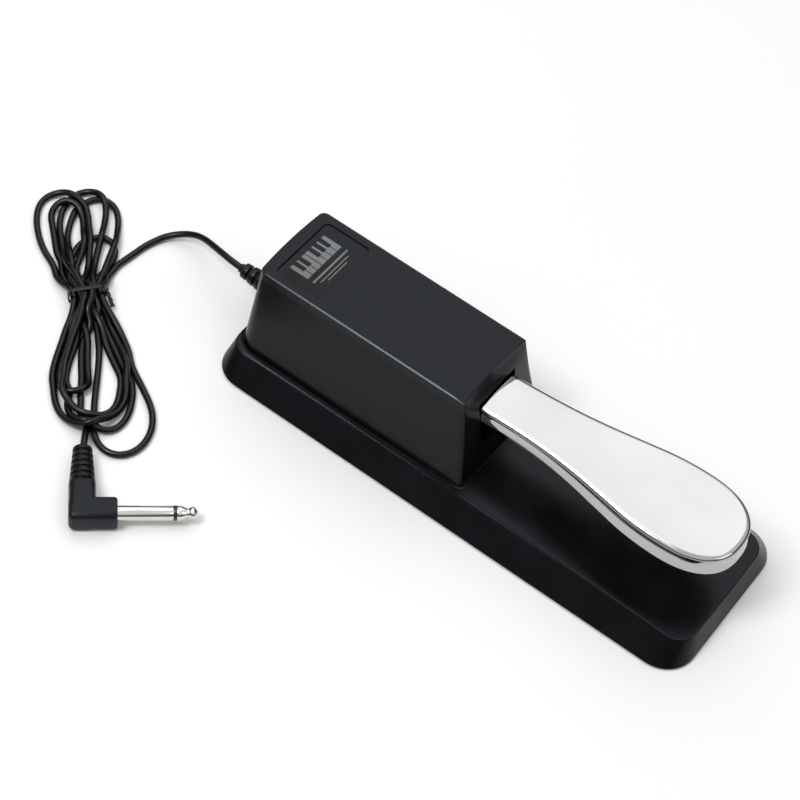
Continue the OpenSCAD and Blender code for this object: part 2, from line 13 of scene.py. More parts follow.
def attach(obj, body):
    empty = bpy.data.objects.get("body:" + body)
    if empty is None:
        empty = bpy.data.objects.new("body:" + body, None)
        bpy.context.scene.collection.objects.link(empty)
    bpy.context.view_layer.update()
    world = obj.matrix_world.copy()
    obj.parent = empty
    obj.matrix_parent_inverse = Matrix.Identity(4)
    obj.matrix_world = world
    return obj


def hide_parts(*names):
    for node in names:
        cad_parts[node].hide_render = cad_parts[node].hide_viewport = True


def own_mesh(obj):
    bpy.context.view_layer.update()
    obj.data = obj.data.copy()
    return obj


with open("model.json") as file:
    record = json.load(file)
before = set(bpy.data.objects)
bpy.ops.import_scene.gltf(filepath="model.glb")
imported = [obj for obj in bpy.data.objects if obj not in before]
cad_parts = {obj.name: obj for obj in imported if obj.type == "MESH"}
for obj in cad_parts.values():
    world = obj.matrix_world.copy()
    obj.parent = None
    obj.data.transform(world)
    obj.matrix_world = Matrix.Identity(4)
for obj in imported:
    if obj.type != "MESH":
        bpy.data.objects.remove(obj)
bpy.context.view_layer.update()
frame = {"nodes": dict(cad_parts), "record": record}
MM = 0.001

# ---------------------------------------------------------------- camera
CAMERA_AT = (-533.5, -231.4, 799.5)
CAMERA_TURN, CAMERA_RISE, CAMERA_ROLL = math.radians(-62.38), math.radians(53.05), math.radians(10.72)
LENS = 104.58


def make_camera():
    """A long lens, aimed down across the pedal from its left and a little rolled."""
    side = Vector((math.cos(CAMERA_TURN), math.sin(CAMERA_TURN), 0))
    back = Vector((math.sin(CAMERA_TURN) * math.cos(CAMERA_RISE),
                   -math.cos(CAMERA_TURN) * math.cos(CAMERA_RISE), math.sin(CAMERA_RISE)))
    up = back.cross(side)
    right = side * math.cos(CAMERA_ROLL) + up * math.sin(CAMERA_ROLL)
    over = up * math.cos(CAMERA_ROLL) - side * math.sin(CAMERA_ROLL)
    data = bpy.data.cameras.new("camera")
    data.lens, data.sensor_width = LENS, 36
    data.clip_start, data.clip_end = 0.01, 50
    cam = bpy.data.objects.new("camera", data)
    bpy.context.collection.objects.link(cam)
    place = Matrix((right, over, back)).transposed().to_4x4()
    place.translation = Vector(CAMERA_AT) * MM
    cam.matrix_world = place
    bpy.context.scene.camera = cam


make_camera()


# ---------------------------------------------------------------- materials
def node_material(name, color, roughness, metallic=0.0, specular=0.5):
    """A principled material, with its nodes and its shader."""
    mat = bpy.data.materials.new(name)
    mat.use_nodes = True
    nodes, links = mat.node_tree.nodes, mat.node_tree.links
    shader = nodes["Principled BSDF"]
    shader.inputs["Base Color"].default_value = (*color, 1)
    shader.inputs["Roughness"].default_value = roughness
    shader.inputs["Metallic"].default_value = metallic
    shader.inputs["Specular IOR Level"].default_value = specular
    coords = nodes.new("ShaderNodeTexCoord")
    return mat, nodes, links, shader, coords


def noise(nodes, links, coords, scale, detail=2.0, stretch=(1, 1, 1), rough=0.5):
    """A noise in the object's own coordinates."""
    mapping = nodes.new("ShaderNodeMapping")
    mapping.inputs["Scale"].default_value = stretch
    tex = nodes.new("ShaderNodeTexNoise")
    tex.inputs["Scale"].default_value = scale
    tex.inputs["Detail"].default_value = detail
    tex.inputs["Roughness"].default_value = rough
    links.new(coords.outputs["Object"], mapping.inputs["Vector"])
    links.new(mapping.outputs["Vector"], tex.inputs["Vector"])
    return tex.outputs["Fac"]


def spread(nodes, links, source, low, high, cut=(0.3, 0.7)):
    """Maps a noise to a range of numbers."""
    node = nodes.new("ShaderNodeMapRange")
    node.inputs["From Min"].default_value, node.inputs["From Max"].default_value = cut
    node.inputs["To Min"].default_value, node.inputs["To Max"].default_value = low, high
    links.new(source, node.inputs["Value"])
    return node.outputs["Result"]


def tint(nodes, links, source, dark, light):
    """Maps a noise to a colour between two colours."""
    ramp = nodes.new("ShaderNodeValToRGB")
    ramp.color_ramp.elements[0].position, ramp.color_ramp.elements[1].position = 0.3, 0.7
    ramp.color_ramp.elements[0].color, ramp.color_ramp.elements[1].color = (*dark, 1), (*light, 1)
    links.new(source, ramp.inputs["Fac"])
    return ramp.outputs["Color"]


def bump(nodes, links, shader, source, distance, strength=1.0):
    """Raises the surface by a height, distance metres at most."""
    node = nodes.new("ShaderNodeBump")
    node.inputs["Distance"].default_value = distance
    node.inputs["Strength"].default_value = strength
    links.new(source, node.inputs["Height"])
    links.new(node.outputs["Normal"], shader.inputs["Normal"])


def plastic(name, color, rough, grain=9000, depth=0.00002, vary=0.25, specular=0.5, tone=(1, 1, 1)):
    """Moulded plastic: fine spark-eroded grain, slow changes of gloss and a little change of colour."""
    mat, nodes, links, shader, coords = node_material(name, color, rough, specular=specular)
    shader.inputs["Specular Tint"].default_value = (*tone, 1)
    slow = noise(nodes, links, coords, 45, 3)
    fine = noise(nodes, links, coords, grain, 2)
    dark = tuple(c * (1 - vary) for c in color)
    light = tuple(c * (1 + vary) for c in color)
    links.new(tint(nodes, links, slow, dark, light), shader.inputs["Base Color"])
    links.new(spread(nodes, links, slow, rough - 0.06, rough + 0.06), shader.inputs["Roughness"])
    bump(nodes, links, shader, fine, depth)
    return mat


def gloss_edges_and_paint_highlight(mat, low, high, color, rough):
    """Faces between two tilts are glossier, and a painted highlight makes them a little paler."""
    nodes, links = mat.node_tree.nodes, mat.node_tree.links
    shader = nodes["Principled BSDF"]
    geometry = nodes.new("ShaderNodeNewGeometry")
    split = nodes.new("ShaderNodeSeparateXYZ")
    links.new(geometry.outputs["Normal"], split.inputs["Vector"])
    band = nodes.new("ShaderNodeValToRGB")
    for place, shine in ((low, 0), (low + 0.06, 1), (high - 0.05, 1)):
        band.color_ramp.elements.new(place).color = (shine, shine, shine, 1)
    band.color_ramp.elements[0].color = band.color_ramp.elements[-1].color = (0, 0, 0, 1)
    band.color_ramp.elements[-1].position = high
    links.new(split.outputs["Z"], band.inputs["Fac"])
    # the paler base colour on this band of tilts is a painted highlight; the lower roughness is real gloss
    for socket, value, kind in (("Base Color", (*color, 1), "RGBA"), ("Roughness", rough, "FLOAT")):
        mix = nodes.new("ShaderNodeMix")
        mix.data_type = kind
        ends = [i for i in mix.inputs if i.enabled and i.name in "AB"]
        links.new(shader.inputs[socket].links[0].from_socket, ends[0])
        ends[1].default_value = value
        links.new(band.outputs["Color"], mix.inputs["Factor"])
        links.new(next(o for o in mix.outputs if o.enabled), shader.inputs[socket])
    return mat


def metal(name, color, rough, stretch=(1, 1, 1), grain=2500, depth=0.000004, vary=0.08, wear=0.06, cloud=30):
    """Plated or drawn metal: fine lines along one axis and slow clouding of its gloss."""
    mat, nodes, links, shader, coords = node_material(name, color, rough, metallic=1.0)
    slow = noise(nodes, links, coords, cloud, 4)
    lines = noise(nodes, links, coords, grain, 3, stretch)
    dark = tuple(c * (1 - vary) for c in color)
    light = tuple(min(1, c * (1 + vary)) for c in color)
    links.new(tint(nodes, links, slow, dark, light), shader.inputs["Base Color"])
    links.new(spread(nodes, links, lines, max(0.01, rough - wear), rough + wear), shader.inputs["Roughness"])
    bump(nodes, links, shader, lines, depth)
    return mat


def rubber_material():
    """Moulded rubber with a tight pebble grain."""
    mat, nodes, links, shader, coords = node_material("rubber", (0.018, 0.018, 0.019), 0.72, specular=0.35)
    slow = noise(nodes, links, coords, 60, 3)
    cells = nodes.new("ShaderNodeTexVoronoi")
    cells.inputs["Scale"].default_value = 900
    links.new(coords.outputs["Object"], cells.inputs["Vector"])
    shades = tint(nodes, links, slow, (0.012, 0.012, 0.013), (0.026, 0.026, 0.027))
    links.new(shades, shader.inputs["Base Color"])
    bump(nodes, links, shader, cells.outputs["Distance"], 0.0001)
    return mat


def chrome_material():
    """Mirror chrome: very low roughness with the faintest clouding and polishing waves."""
    mat, nodes, links, shader, coords = node_material("chrome", (0.48, 0.478, 0.478), 0.04, metallic=1.0)
    slow = noise(nodes, links, coords, 22, 3)
    haze = noise(nodes, links, coords, 120, 4)
    shades = tint(nodes, links, slow, (0.45, 0.447, 0.45), (0.51, 0.505, 0.502))
    links.new(shades, shader.inputs["Base Color"])
    links.new(spread(nodes, links, haze, 0.025, 0.06), shader.inputs["Roughness"])
    bump(nodes, links, shader, slow, 0.00004, 0.5)
    return mat


def board_material():
    """Green solder mask with a faint weave of the board under it and paler copper runs."""
    mat, nodes, links, shader, coords = node_material("board", (0.03, 0.15, 0.06), 0.3, specular=0.5)
    runs = nodes.new("ShaderNodeTexBrick")
    runs.inputs["Scale"].default_value = 260
    runs.inputs["Color1"].default_value = (0.02, 0.12, 0.045, 1)
    runs.inputs["Color2"].default_value = (0.03, 0.16, 0.06, 1)
    runs.inputs["Mortar"].default_value = (0.06, 0.26, 0.1, 1)
    links.new(coords.outputs["Object"], runs.inputs["Vector"])
    links.new(runs.outputs["Color"], shader.inputs["Base Color"])
    bump(nodes, links, shader, noise(nodes, links, coords, 3000, 2), 0.00002)
    return mat


def felt_material():
    """Pressed felt: fuzz with a soft sheen."""
    mat, nodes, links, shader, coords = node_material("felt", (0.05, 0.05, 0.055), 0.95, specular=0.2)
    fuzz = noise(nodes, links, coords, 5000, 6, rough=0.8)
    shades = tint(nodes, links, fuzz, (0.03, 0.03, 0.034), (0.085, 0.085, 0.09))
    links.new(shades, shader.inputs["Base Color"])
    shader.inputs["Sheen Weight"].default_value = 0.4
    bump(nodes, links, shader, fuzz, 0.0003)
    return mat


# The tint of the black plastic's gloss
COOL = (0.84, 0.91, 1.0)
LOOKS = {
    # the shell's slanted edge faces, normal z 0.76 to 0.99, are glossier and get a painted highlight in a
    # paler colour
    "shell_abs": gloss_edges_and_paint_highlight(plastic("shell_abs", (0.0036, 0.0042, 0.005), 0.27, grain=7000, depth=0.000005,
                                 specular=0.19, tone=COOL), 0.76, 0.99, (0.014, 0.0145, 0.015), 0.16),
    "rubber": rubber_material(),
    "felt": felt_material(),
    "plate_steel": metal("plate_steel", (0.5, 0.5, 0.51), 0.38, (1, 0.04, 1)),
    "bracket_steel": metal("bracket_steel", (0.56, 0.57, 0.58), 0.3, (1, 0.08, 0.08)),
    "screw_steel": metal("screw_steel", (0.62, 0.62, 0.63), 0.24, (1, 1, 0.1)),
    "clip_steel": metal("clip_steel", (0.1, 0.1, 0.11), 0.42),
    "spring_steel": metal("spring_steel", (0.42, 0.42, 0.44), 0.27, (0.1, 0.1, 1), grain=4000),
    "chrome": chrome_material(),
    "nylon": plastic("nylon", (0.8, 0.79, 0.75), 0.45, vary=0.04),
    "switch_plastic": plastic("switch_plastic", (0.03, 0.03, 0.032), 0.42),
    "plunger_red": plastic("plunger_red", (0.6, 0.07, 0.04), 0.35, vary=0.1),
    "contact_brass": metal("contact_brass", (0.75, 0.56, 0.26), 0.25, (1, 1, 0.1)),
    "board_green": board_material(),
    "wire_red": plastic("wire_red", (0.45, 0.04, 0.03), 0.3, vary=0.1),
    "slider_white": plastic("slider_white", (0.75, 0.75, 0.72), 0.4, vary=0.04),
    "gland_pvc": plastic("gland_pvc", (0.003, 0.0033, 0.004), 0.33, grain=5000, depth=0.00003, specular=0.3,
                         tone=COOL),
    "cord_pvc": plastic("cord_pvc", (0.002, 0.002, 0.0024), 0.27, grain=3500, depth=0.00001, specular=0.32),
    "tie_plastic": plastic("tie_plastic", (0.006, 0.006, 0.0065), 0.36, specular=0.35),
    "plug_pvc": plastic("plug_pvc", (0.003, 0.0034, 0.0042), 0.36, grain=5000, depth=0.00002, specular=0.26,
                        tone=COOL),
    "nickel": metal("nickel", (0.70, 0.68, 0.64), 0.13, (1, 1, 1), grain=1500, wear=0.05),
    "insulator": plastic("insulator", (0.012, 0.012, 0.012), 0.22, specular=0.5),
}


# ---------------------------------------------------------------- mesh helpers
def loft(rings, caps=True):
    """Points and faces of a skin through rings with one number of points each."""
    n = len(rings[0])
    points = [p for r in rings for p in r]
    faces = [(k * n + i, k * n + (i + 1) % n, (k + 1) * n + (i + 1) % n, (k + 1) * n + i)
             for k in range(len(rings) - 1) for i in range(n)]
    if caps:
        faces += [tuple(range(n))[::-1], tuple(range((len(rings) - 1) * n, len(rings) * n))]
    return points, faces


def make_mesh(name, points, faces, smooth=None):
    """A linked mesh object from points in mm, its faces turned outwards."""
    mesh = bpy.data.meshes.new(name)
    mesh.from_pydata([tuple(c * MM for c in p) for p in points], [], faces)
    bm = bmesh.new()
    bm.from_mesh(mesh)
    bmesh.ops.recalc_face_normals(bm, faces=bm.faces)
    bm.to_mesh(mesh)
    bm.free()
    obj = bpy.data.objects.new(name, mesh)
    bpy.context.collection.objects.link(obj)
    if smooth is not None:
        shade(obj, smooth)
    return obj


def shade(obj, angle):
    """Smooth shading, with edges sharper than an angle left sharp."""
    obj.data.shade_smooth()
    obj.data.set_sharp_from_angle(angle=math.radians(angle))


def baked(obj):
    """Applies obj's modifiers."""
    bpy.context.view_layer.update()
    done = bpy.data.meshes.new_from_object(obj.evaluated_get(bpy.context.evaluated_depsgraph_get()))
    obj.modifiers.clear()
    obj.data = done


def combine(obj, tool, how):
    """obj with tool cut from it or added to it."""
    mod = obj.modifiers.new("combine", "BOOLEAN")
    mod.object, mod.operation, mod.solver = tool, how, "EXACT"
    baked(obj)
    bpy.data.objects.remove(tool)


def weld(obj, gap):
    """Joins obj's points that are closer than gap metres, closes its holes and turns its faces outwards."""
    bm = bmesh.new()
    bm.from_mesh(obj.data)
    bmesh.ops.remove_doubles(bm, verts=bm.verts, dist=gap)
    bmesh.ops.holes_fill(bm, edges=bm.edges)
    bmesh.ops.recalc_face_normals(bm, faces=bm.faces)
    bm.to_mesh(obj.data)
    bm.free()


def join(objs):
    """One object from several."""
    bm = bmesh.new()
    for o in objs:
        part = o.data.copy()
        part.transform(o.matrix_world)
        bm.from_mesh(part)
    bm.to_mesh(objs[0].data)
    bm.free()
    objs[0].matrix_world = Matrix.Identity(4)
    for o in objs[1:]:
        bpy.data.objects.remove(o)
    return objs[0]


def coat(obj, look):
    """One look all over obj."""
    obj.data.materials.clear()
    obj.data.materials.append(LOOKS[look])
    for face in obj.data.polygons:
        face.material_index = 0


def finish_piece(obj, body, look, *nodes):
    """Gives obj its look and its body, and hides the CAD nodes that it stands for."""
    coat(obj, look)
    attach(obj, body)
    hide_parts(*nodes)
    return obj


def ease(t):
    """From 0 to 1 with a slow start and a slow end."""
    t = min(1, max(0, t))
    return t * t * (3 - 2 * t)


def lerp(a, b, t):
    return a + (b - a) * t


def lathe(profile, sides=96):
    """Rings about the X axis for a profile of (x, r)."""
    return [[(x, r * math.cos(2 * math.pi * i / sides), r * math.sin(2 * math.pi * i / sides))
             for i in range(sides)] for x, r in profile]


def rounded(profile, radius, steps=4):
    """A profile of corners (x, r) with each inner corner rounded."""
    out = [profile[0]]
    for a, b, c in zip(profile, profile[1:], profile[2:]):
        a, b, c = (Vector(p) for p in (a, b, c))
        u, v = a - b, c - b
        cut = min(radius, u.length * 0.45, v.length * 0.45)
        p, q = b + u.normalized() * cut, b + v.normalized() * cut
        out += [tuple((1 - t) ** 2 * p + 2 * t * (1 - t) * b + t * t * q)
                for t in (k / steps for k in range(steps + 1))]
    return out + [profile[-1]]


def arc(at, radius, start, end, step):
    """Points (x, y) of an arc between two angles in degrees."""
    return [(at[0] + radius * math.cos(math.radians(a)), at[1] + radius * math.sin(math.radians(a)))
            for a in range(start, end + 1, step)]


def placed(rings, at, turn):
    """Rings drawn about the X axis, turned about Z and moved."""
    c, s = math.cos(turn), math.sin(turn)
    return [[(at[0] + c * x - s * y, at[1] + s * x + c * y, at[2] + z) for x, y, z in r] for r in rings]


# ---------------------------------------------------------------- cord
CORD_D = 3.0
CORD_Z = 17
GLAND_ROUTE = [(0, 137, 17), (0.5, 142, 16.7), (2, 148, 15.4), (4.5, 155, 12.8), (7, 162, 9.8), (8, 168, 7),
               (6.5, 174, 4.4), (2, 179.5, 2.4), (-6, 183, 1.6), (-16, 184.5, 1.6), (-25, 185.4, 1.8),
               (-32, 185.4, 2.8), (-37.5, 184.2, 4.2)]
HANK_AT, HANK_TURN = (-48.0, 183.0), math.radians(51.5)
# Half the length that the tie holds straight, and where each run lies in it: across it and above the floor
TIE_HOLD = 3.5
TIE_PLACES = [(-6.2, 5.1), (-3.1, 5.1), (1.55, 7.7), (0, 5.1), (6.2, 5.1), (-4.65, 2.5), (3.1, 5.1),
              (1.55, 2.5), (4.65, 2.5), (-1.55, 2.5), (-1.55, 7.7)]
# Each loop's height before it settles, and its route on the hank's own axes
LOOPS = [
    (4.5, [(-26, -9), (-51, -14), (-65, -15.5), (-76, -12), (-83, -4), (-83, 4), (-77, 9.5), (-69, 10),
           (-58, 8), (-44, 4), (-26, -0.5)]),
    (7, [(16, -6), (31, -12), (45, -17), (54, -18), (60.5, -13), (60, -6), (54, 0), (44, 4), (31, 5.5),
         (18, 4.5)]),
    (9.5, [(-24, 12), (-39, 17), (-50, 18.5), (-59, 16), (-63.5, 8), (-60, -0.5), (-51, -5), (-34, -6),
           (-16, -3)]),
    (12, [(17, -4), (32, -7), (46, -8), (56, -6), (62, 0.5), (60, 8), (52, 12.5), (42, 14), (32, 13.5),
          (20, 10.5)]),
    (7, [(-24, 15), (-39, 21), (-52, 23.5), (-62, 21), (-68, 13), (-66.5, 4), (-59, -4), (-48, -8.5),
         (-32, -9), (-17, -6.5)]),
    (4.3, [(20, -14), (34, -20), (45, -22.5), (53, -20.5), (56, -13.5), (52, -6.5), (45, -1.5), (36, 2),
           (22, 3.5)]),
    (9, [(-16, 8.5), (-28, 14.5), (-37, 19), (-44, 20.5), (-50, 16.5), (-48.5, 10), (-40, 7.5), (-30, 6),
         (-18, 3.5)]),
    (9.5, [(15, 2), (28, -3.5), (40, -6.5), (49, -7.5), (55.5, -2), (53, 5), (44, 7), (30, 6.5), (17, 5)]),
    (4.5, [(-18, 9.5), (-36, 16), (-50, 19), (-62, 17.5), (-70, 10.5), (-70, 1), (-64, -5.5), (-52, -9),
           (-34, -8), (-16, -5)]),
    (1.5, [(10, -8), (19, -15), (27, -17.5), (33.5, -14), (33, -6.5), (27.5, 0), (21, 5), (14, 7), (8, 4)]),
    (1.5, [(-16, 3.5), (-34, 8.5), (-52, 12), (-63, 14.5)]),
]
LEAD_ROUTE = [(-99, 139.2, 2.2), (-102, 136.8, 3.2), (-105, 134.9, 4.6), (-107.8, 132.9, 5.5),
              (-110.6, 131, 5.6)]


def on_hank(p, direction=False):
    """A point (x, y, z), or a direction, given on the hank's own axes."""
    c, s = math.cos(HANK_TURN), math.sin(HANK_TURN)
    x, y = c * p[0] - s * p[1], s * p[0] + c * p[1]
    return (x, y, p[2]) if direction else (x + HANK_AT[0], y + HANK_AT[1], p[2])


def cord_route():
    """The route's points, and which of them stay where they are while the rest settles."""
    points = list(GLAND_ROUTE)
    held = [True] * (len(points) - 2) + [False] * 2
    side = 1
    for (across, high), (z, loop) in zip(TIE_PLACES, LOOPS):
        for x in (TIE_HOLD * side, -TIE_HOLD * side):
            points.append(on_hank((x, across, high)))
            held.append(True)
        for x, y in loop:
            points.append(on_hank((x, y, z)))
            held.append(False)
        side = -side
    return np.array(points + LEAD_ROUTE, float), np.array(held + [True] * len(LEAD_ROUTE))


def smooth_line(points, step):
    """A centripetal spline through the points, at even steps; and the route's own parameter there."""
    padded = np.vstack([2 * points[0] - points[1], points, 2 * points[-1] - points[-2]])
    line, place = [], []
    for i in range(len(points) - 1):
        a, b, c, d = padded[i:i + 4]
        t = np.cumsum([0] + [max(np.linalg.norm(v - u), 1e-9) ** 0.5 for u, v in ((a, b), (b, c), (c, d))])
        for s in np.linspace(t[1], t[2], max(4, int(np.linalg.norm(c - b) / 0.4)), endpoint=False):
            p = ((t[1] - s) * a + s * b) / t[1]
            q = ((t[2] - s) * b + (s - t[1]) * c) / (t[2] - t[1])
            r = ((t[3] - s) * c + (s - t[2]) * d) / (t[3] - t[2])
            p = ((t[2] - s) * p + s * q) / t[2]
            q = ((t[3] - s) * q + (s - t[1]) * r) / (t[3] - t[1])
            line.append(((t[2] - s) * p + (s - t[1]) * q) / (t[2] - t[1]))
            place.append(i + (s - t[1]) / (t[2] - t[1]))
    line, place = np.array(line + [points[-1]]), np.array(place + [len(points) - 1.0])
    along = np.concatenate([[0], np.cumsum(np.linalg.norm(np.diff(line, axis=0), axis=1))])
    even = np.linspace(0, along[-1], int(round(along[-1] / step)) + 1)
    return np.stack([np.interp(even, along, line[:, k]) for k in range(3)], 1), np.interp(even, along, place)


def settle(line, held, rounds=400, gap=0.99 * CORD_D, tight=6.3):
    """Lets the cord sink under its weight until its turns lie on the floor and on each other."""
    p, home, n = line.copy(), line.copy(), len(line)
    first, second = np.triu_indices(n, 5)
    rest = np.linalg.norm(np.diff(p, axis=0), axis=1)
    free = np.where(held, 0.0, 1.0)[:, None]
    for k in range(rounds):
        if k % 10 == 0:
            near = (np.abs(p[first] - p[second]) < gap + 4).all(1)
            one, two = first[near], second[near]
        p[:, 2] -= 0.1 * (1 - 0.8 * k / rounds) * free[:, 0]
        # stiffness: wiggles flatten, and a bend tighter than the cord takes opens
        lap = np.zeros_like(p)
        lap[1:-1] = (p[:-2] + p[2:]) / 2 - p[1:-1]
        u, v, c = p[2:-2] - p[:-4], p[4:] - p[2:-2], p[4:] - p[:-4]
        area = np.linalg.norm(np.cross(u, v), axis=1)
        radius = np.full(n, 99.0)
        radius[2:-2] = (np.linalg.norm(u, axis=1) * np.linalg.norm(v, axis=1) * np.linalg.norm(c, axis=1)
                        / np.maximum(2 * area, 1e-6))
        t = np.clip((tight - radius) / tight * 4, 0, 1)
        t = np.maximum(t, np.maximum(np.append(t[1:], 0), np.insert(t[:-1], 0, 0)))[:, None]
        wiggle = np.zeros_like(p)
        wiggle[1:-1] = lap[1:-1] - (lap[:-2] + lap[2:]) / 2
        p += (0.2 * wiggle + lap * np.array([0.02, 0.02, 0.25]) + 0.3 * lap * t) * free
        p[:, :2] += (home[:, :2] - p[:, :2]) * 0.03 * (1 - t) * free
        for _ in range(3):
            apart = p[one] - p[two]
            dist = np.linalg.norm(apart, axis=1)
            hit = dist < gap
            a, b, apart, dist = one[hit], two[hit], apart[hit], dist[hit]
            over = np.sign(home[a, 2] - home[b, 2] + 1e-9 * (a - b)) * 0.5
            apart[:, 2] = np.where(np.abs(apart[:, 2]) < 0.5, over, apart[:, 2])
            apart /= np.linalg.norm(apart, axis=1)[:, None]
            push = (gap - dist)[:, None] * apart / np.maximum(free[a] + free[b], 1)
            move, count = np.zeros_like(p), np.zeros(n)
            np.add.at(move, a, push * free[a])
            np.add.at(move, b, -push * free[b])
            np.add.at(count, np.concatenate([a, b]), 1)
            p += move / np.maximum(count, 1)[:, None]
        for _ in range(4):
            edge = np.diff(p, axis=0)
            size = np.linalg.norm(edge, axis=1)
            pull = edge * ((size - rest) / np.maximum(size, 1e-9) * 0.4)[:, None]
            p[:-1] += pull * free[:-1]
            p[1:] -= pull * free[1:]
        p[:, 2] = np.where(held, p[:, 2], np.maximum(p[:, 2], CORD_D / 2))
    return p


def make_cord():
    """The cord as a tube along its settled route, and its length in metres."""
    points, held = cord_route()
    line, place = smooth_line(points, 2.5)
    still = held[np.floor(place).astype(int)] & held[np.ceil(place).astype(int)]
    line = settle(line, still)
    fine, _ = smooth_line(line, 1.0)
    length = float(np.linalg.norm(np.diff(fine, axis=0), axis=1).sum()) * MM
    curve = bpy.data.curves.new("cord", "CURVE")
    curve.dimensions = "3D"
    curve.bevel_depth, curve.bevel_resolution = CORD_D / 2 * MM, 4
    curve.use_fill_caps = True
    spline = curve.splines.new("POLY")
    spline.points.add(len(fine) - 1)
    spline.points.foreach_set("co", np.column_stack([fine * MM, np.ones(len(fine))]).ravel())
    spline.use_smooth = True
    cord = bpy.data.objects.new("cord", curve)
    bpy.context.collection.objects.link(cord)
    curve.materials.append(LOOKS["cord_pvc"])
    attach(cord, "base")
    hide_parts("cord_from_gland", "cord_hank", "cord_to_plug")
    return cord, length


cord, cord_length = make_cord()


# ---------------------------------------------------------------- shell
BASE_HALF, BASE_END, BASE_CORNER = 42, 120, 14.5
DECK_Z, DECK_HALF, DECK_ENDS, DECK_CORNER = 12, 32.5, (-116, 117), 8.5
TOP_Z, TOP_HALF, TOP_ENDS = 55, 22, (6.8, 112)
BAND_Z, BAND_HALF = 51, 22.35
FOOT_HALF, FOOT_ENDS = 29.2, (-3, 115.2)
WALL = 2.5
# The slot, the hole for the cord, the rear bosses' webs and the rib over the up stop, as spans of x, y and z
SLOT = ((-12.9, 13.1), (-9, 14), (24, 46.3))
CORD_HOLE_R, CORD_HOLE_Y = 4.0, (105, 122)
REAR_WEB = ((18, 20), (108, 113.4), (13, 22))
STOP_RIB = ((-8, 8), (22, 30), (46.5, TOP_Z - WALL + 0.6))
# Each pair of screw bosses: x, y and the top of its hole
BOSSES = [(24, -104, 9.8), (27, -40, 9.8), (19, 108, 22)]
BOSS_R, BOSS_HOLE_R, BOSS_FOOT = 3.6, 1.5, 4.5
RECESS_HALF, RECESS_Y, RECESS_R, RECESS_DEPTH = 17.8, (84, 106.9), 2.2, 1.0


def outline(half, ends, front_r, rear_r, scoop=0.0, bulge=0.0):
    """Points (x, y) round a long rounded form, always the same number, from the middle of its front edge.
    scoop draws the front edge in, and bulge pushes the rear edge out."""
    near, far = ends
    right = [(x, near + scoop * (1 - (x / half) ** 2)) for x in np.linspace(0, half - front_r, 11)[:-1]]
    lip = scoop * (1 - ((half - front_r) / half) ** 2)
    right += [(half - front_r + front_r * math.sin(a),
               near + lip * (1 - a / 1.5708) + front_r * (1 - math.cos(a)))
              for a in np.linspace(0, math.pi / 2, 9)]
    right += [(half, y) for y in np.linspace(near + front_r, far - rear_r, 22)[1:-1]]
    tail = bulge * (1 - ((half - rear_r) / half) ** 2)
    right += [(half - rear_r + rear_r * math.cos(a), far + tail * a / 1.5708 - rear_r * (1 - math.sin(a)))
              for a in np.linspace(0, math.pi / 2, 11)]
    right += [(x, far + bulge * (1 - (x / half) ** 2)) for x in np.linspace(half - rear_r, 0, 11)[1:]]
    left = [(-x, y) for x, y in right[1:-1]][::-1]
    return [(float(x), float(y)) for x, y in right + left]


def level(points, z):
    """An outline's points at a height."""
    return [(x, y, z) for x, y in points]


def fillet(low, edge, high, radius, steps=5):
    """Rings that round the corner at edge between low and high, point by point, by a radius for each."""
    rings = [[] for _ in range(steps + 1)]
    for a, b, c, r in zip(low, edge, high, radius):
        a, b, c = Vector(a), Vector(b), Vector(c)
        u, v = (a - b).normalized(), (c - b).normalized()
        cut = min(r / max(math.tan(u.angle(v) / 2), 0.2), (a - b).length * 0.45, (c - b).length * 0.85)
        p, q = b + u * cut, b + v * cut
        for k in range(steps + 1):
            t = k / steps
            rings[k].append(tuple((1 - t) ** 2 * p + 2 * t * (1 - t) * b + t * t * q))
    return rings


def housing_level(z, grow=0.0):
    """The housing's outline at a height: a steep band under its top edge, then the long slope to its foot."""
    down = (TOP_Z - z) / (TOP_Z - DECK_Z)
    if z > BAND_Z:
        half = lerp(TOP_HALF, BAND_HALF, (TOP_Z - z) / (TOP_Z - BAND_Z))
    else:
        half = lerp(BAND_HALF, FOOT_HALF, (BAND_Z - z) / (BAND_Z - DECK_Z))
    soft = ease((TOP_Z - z) / 22)
    scoop = 1.7 * ease((z - 45.5) / 9.5)
    bulge = lerp(1.0, 0.4, down)
    ends = (lerp(TOP_ENDS[0], FOOT_ENDS[0], down) - grow, lerp(TOP_ENDS[1], FOOT_ENDS[1], down) + grow)
    return outline(half + grow, ends, lerp(0.5, 2.6, soft) + max(grow, 0) * 0.5, lerp(2.8, 8, down) + grow,
                   scoop, bulge)


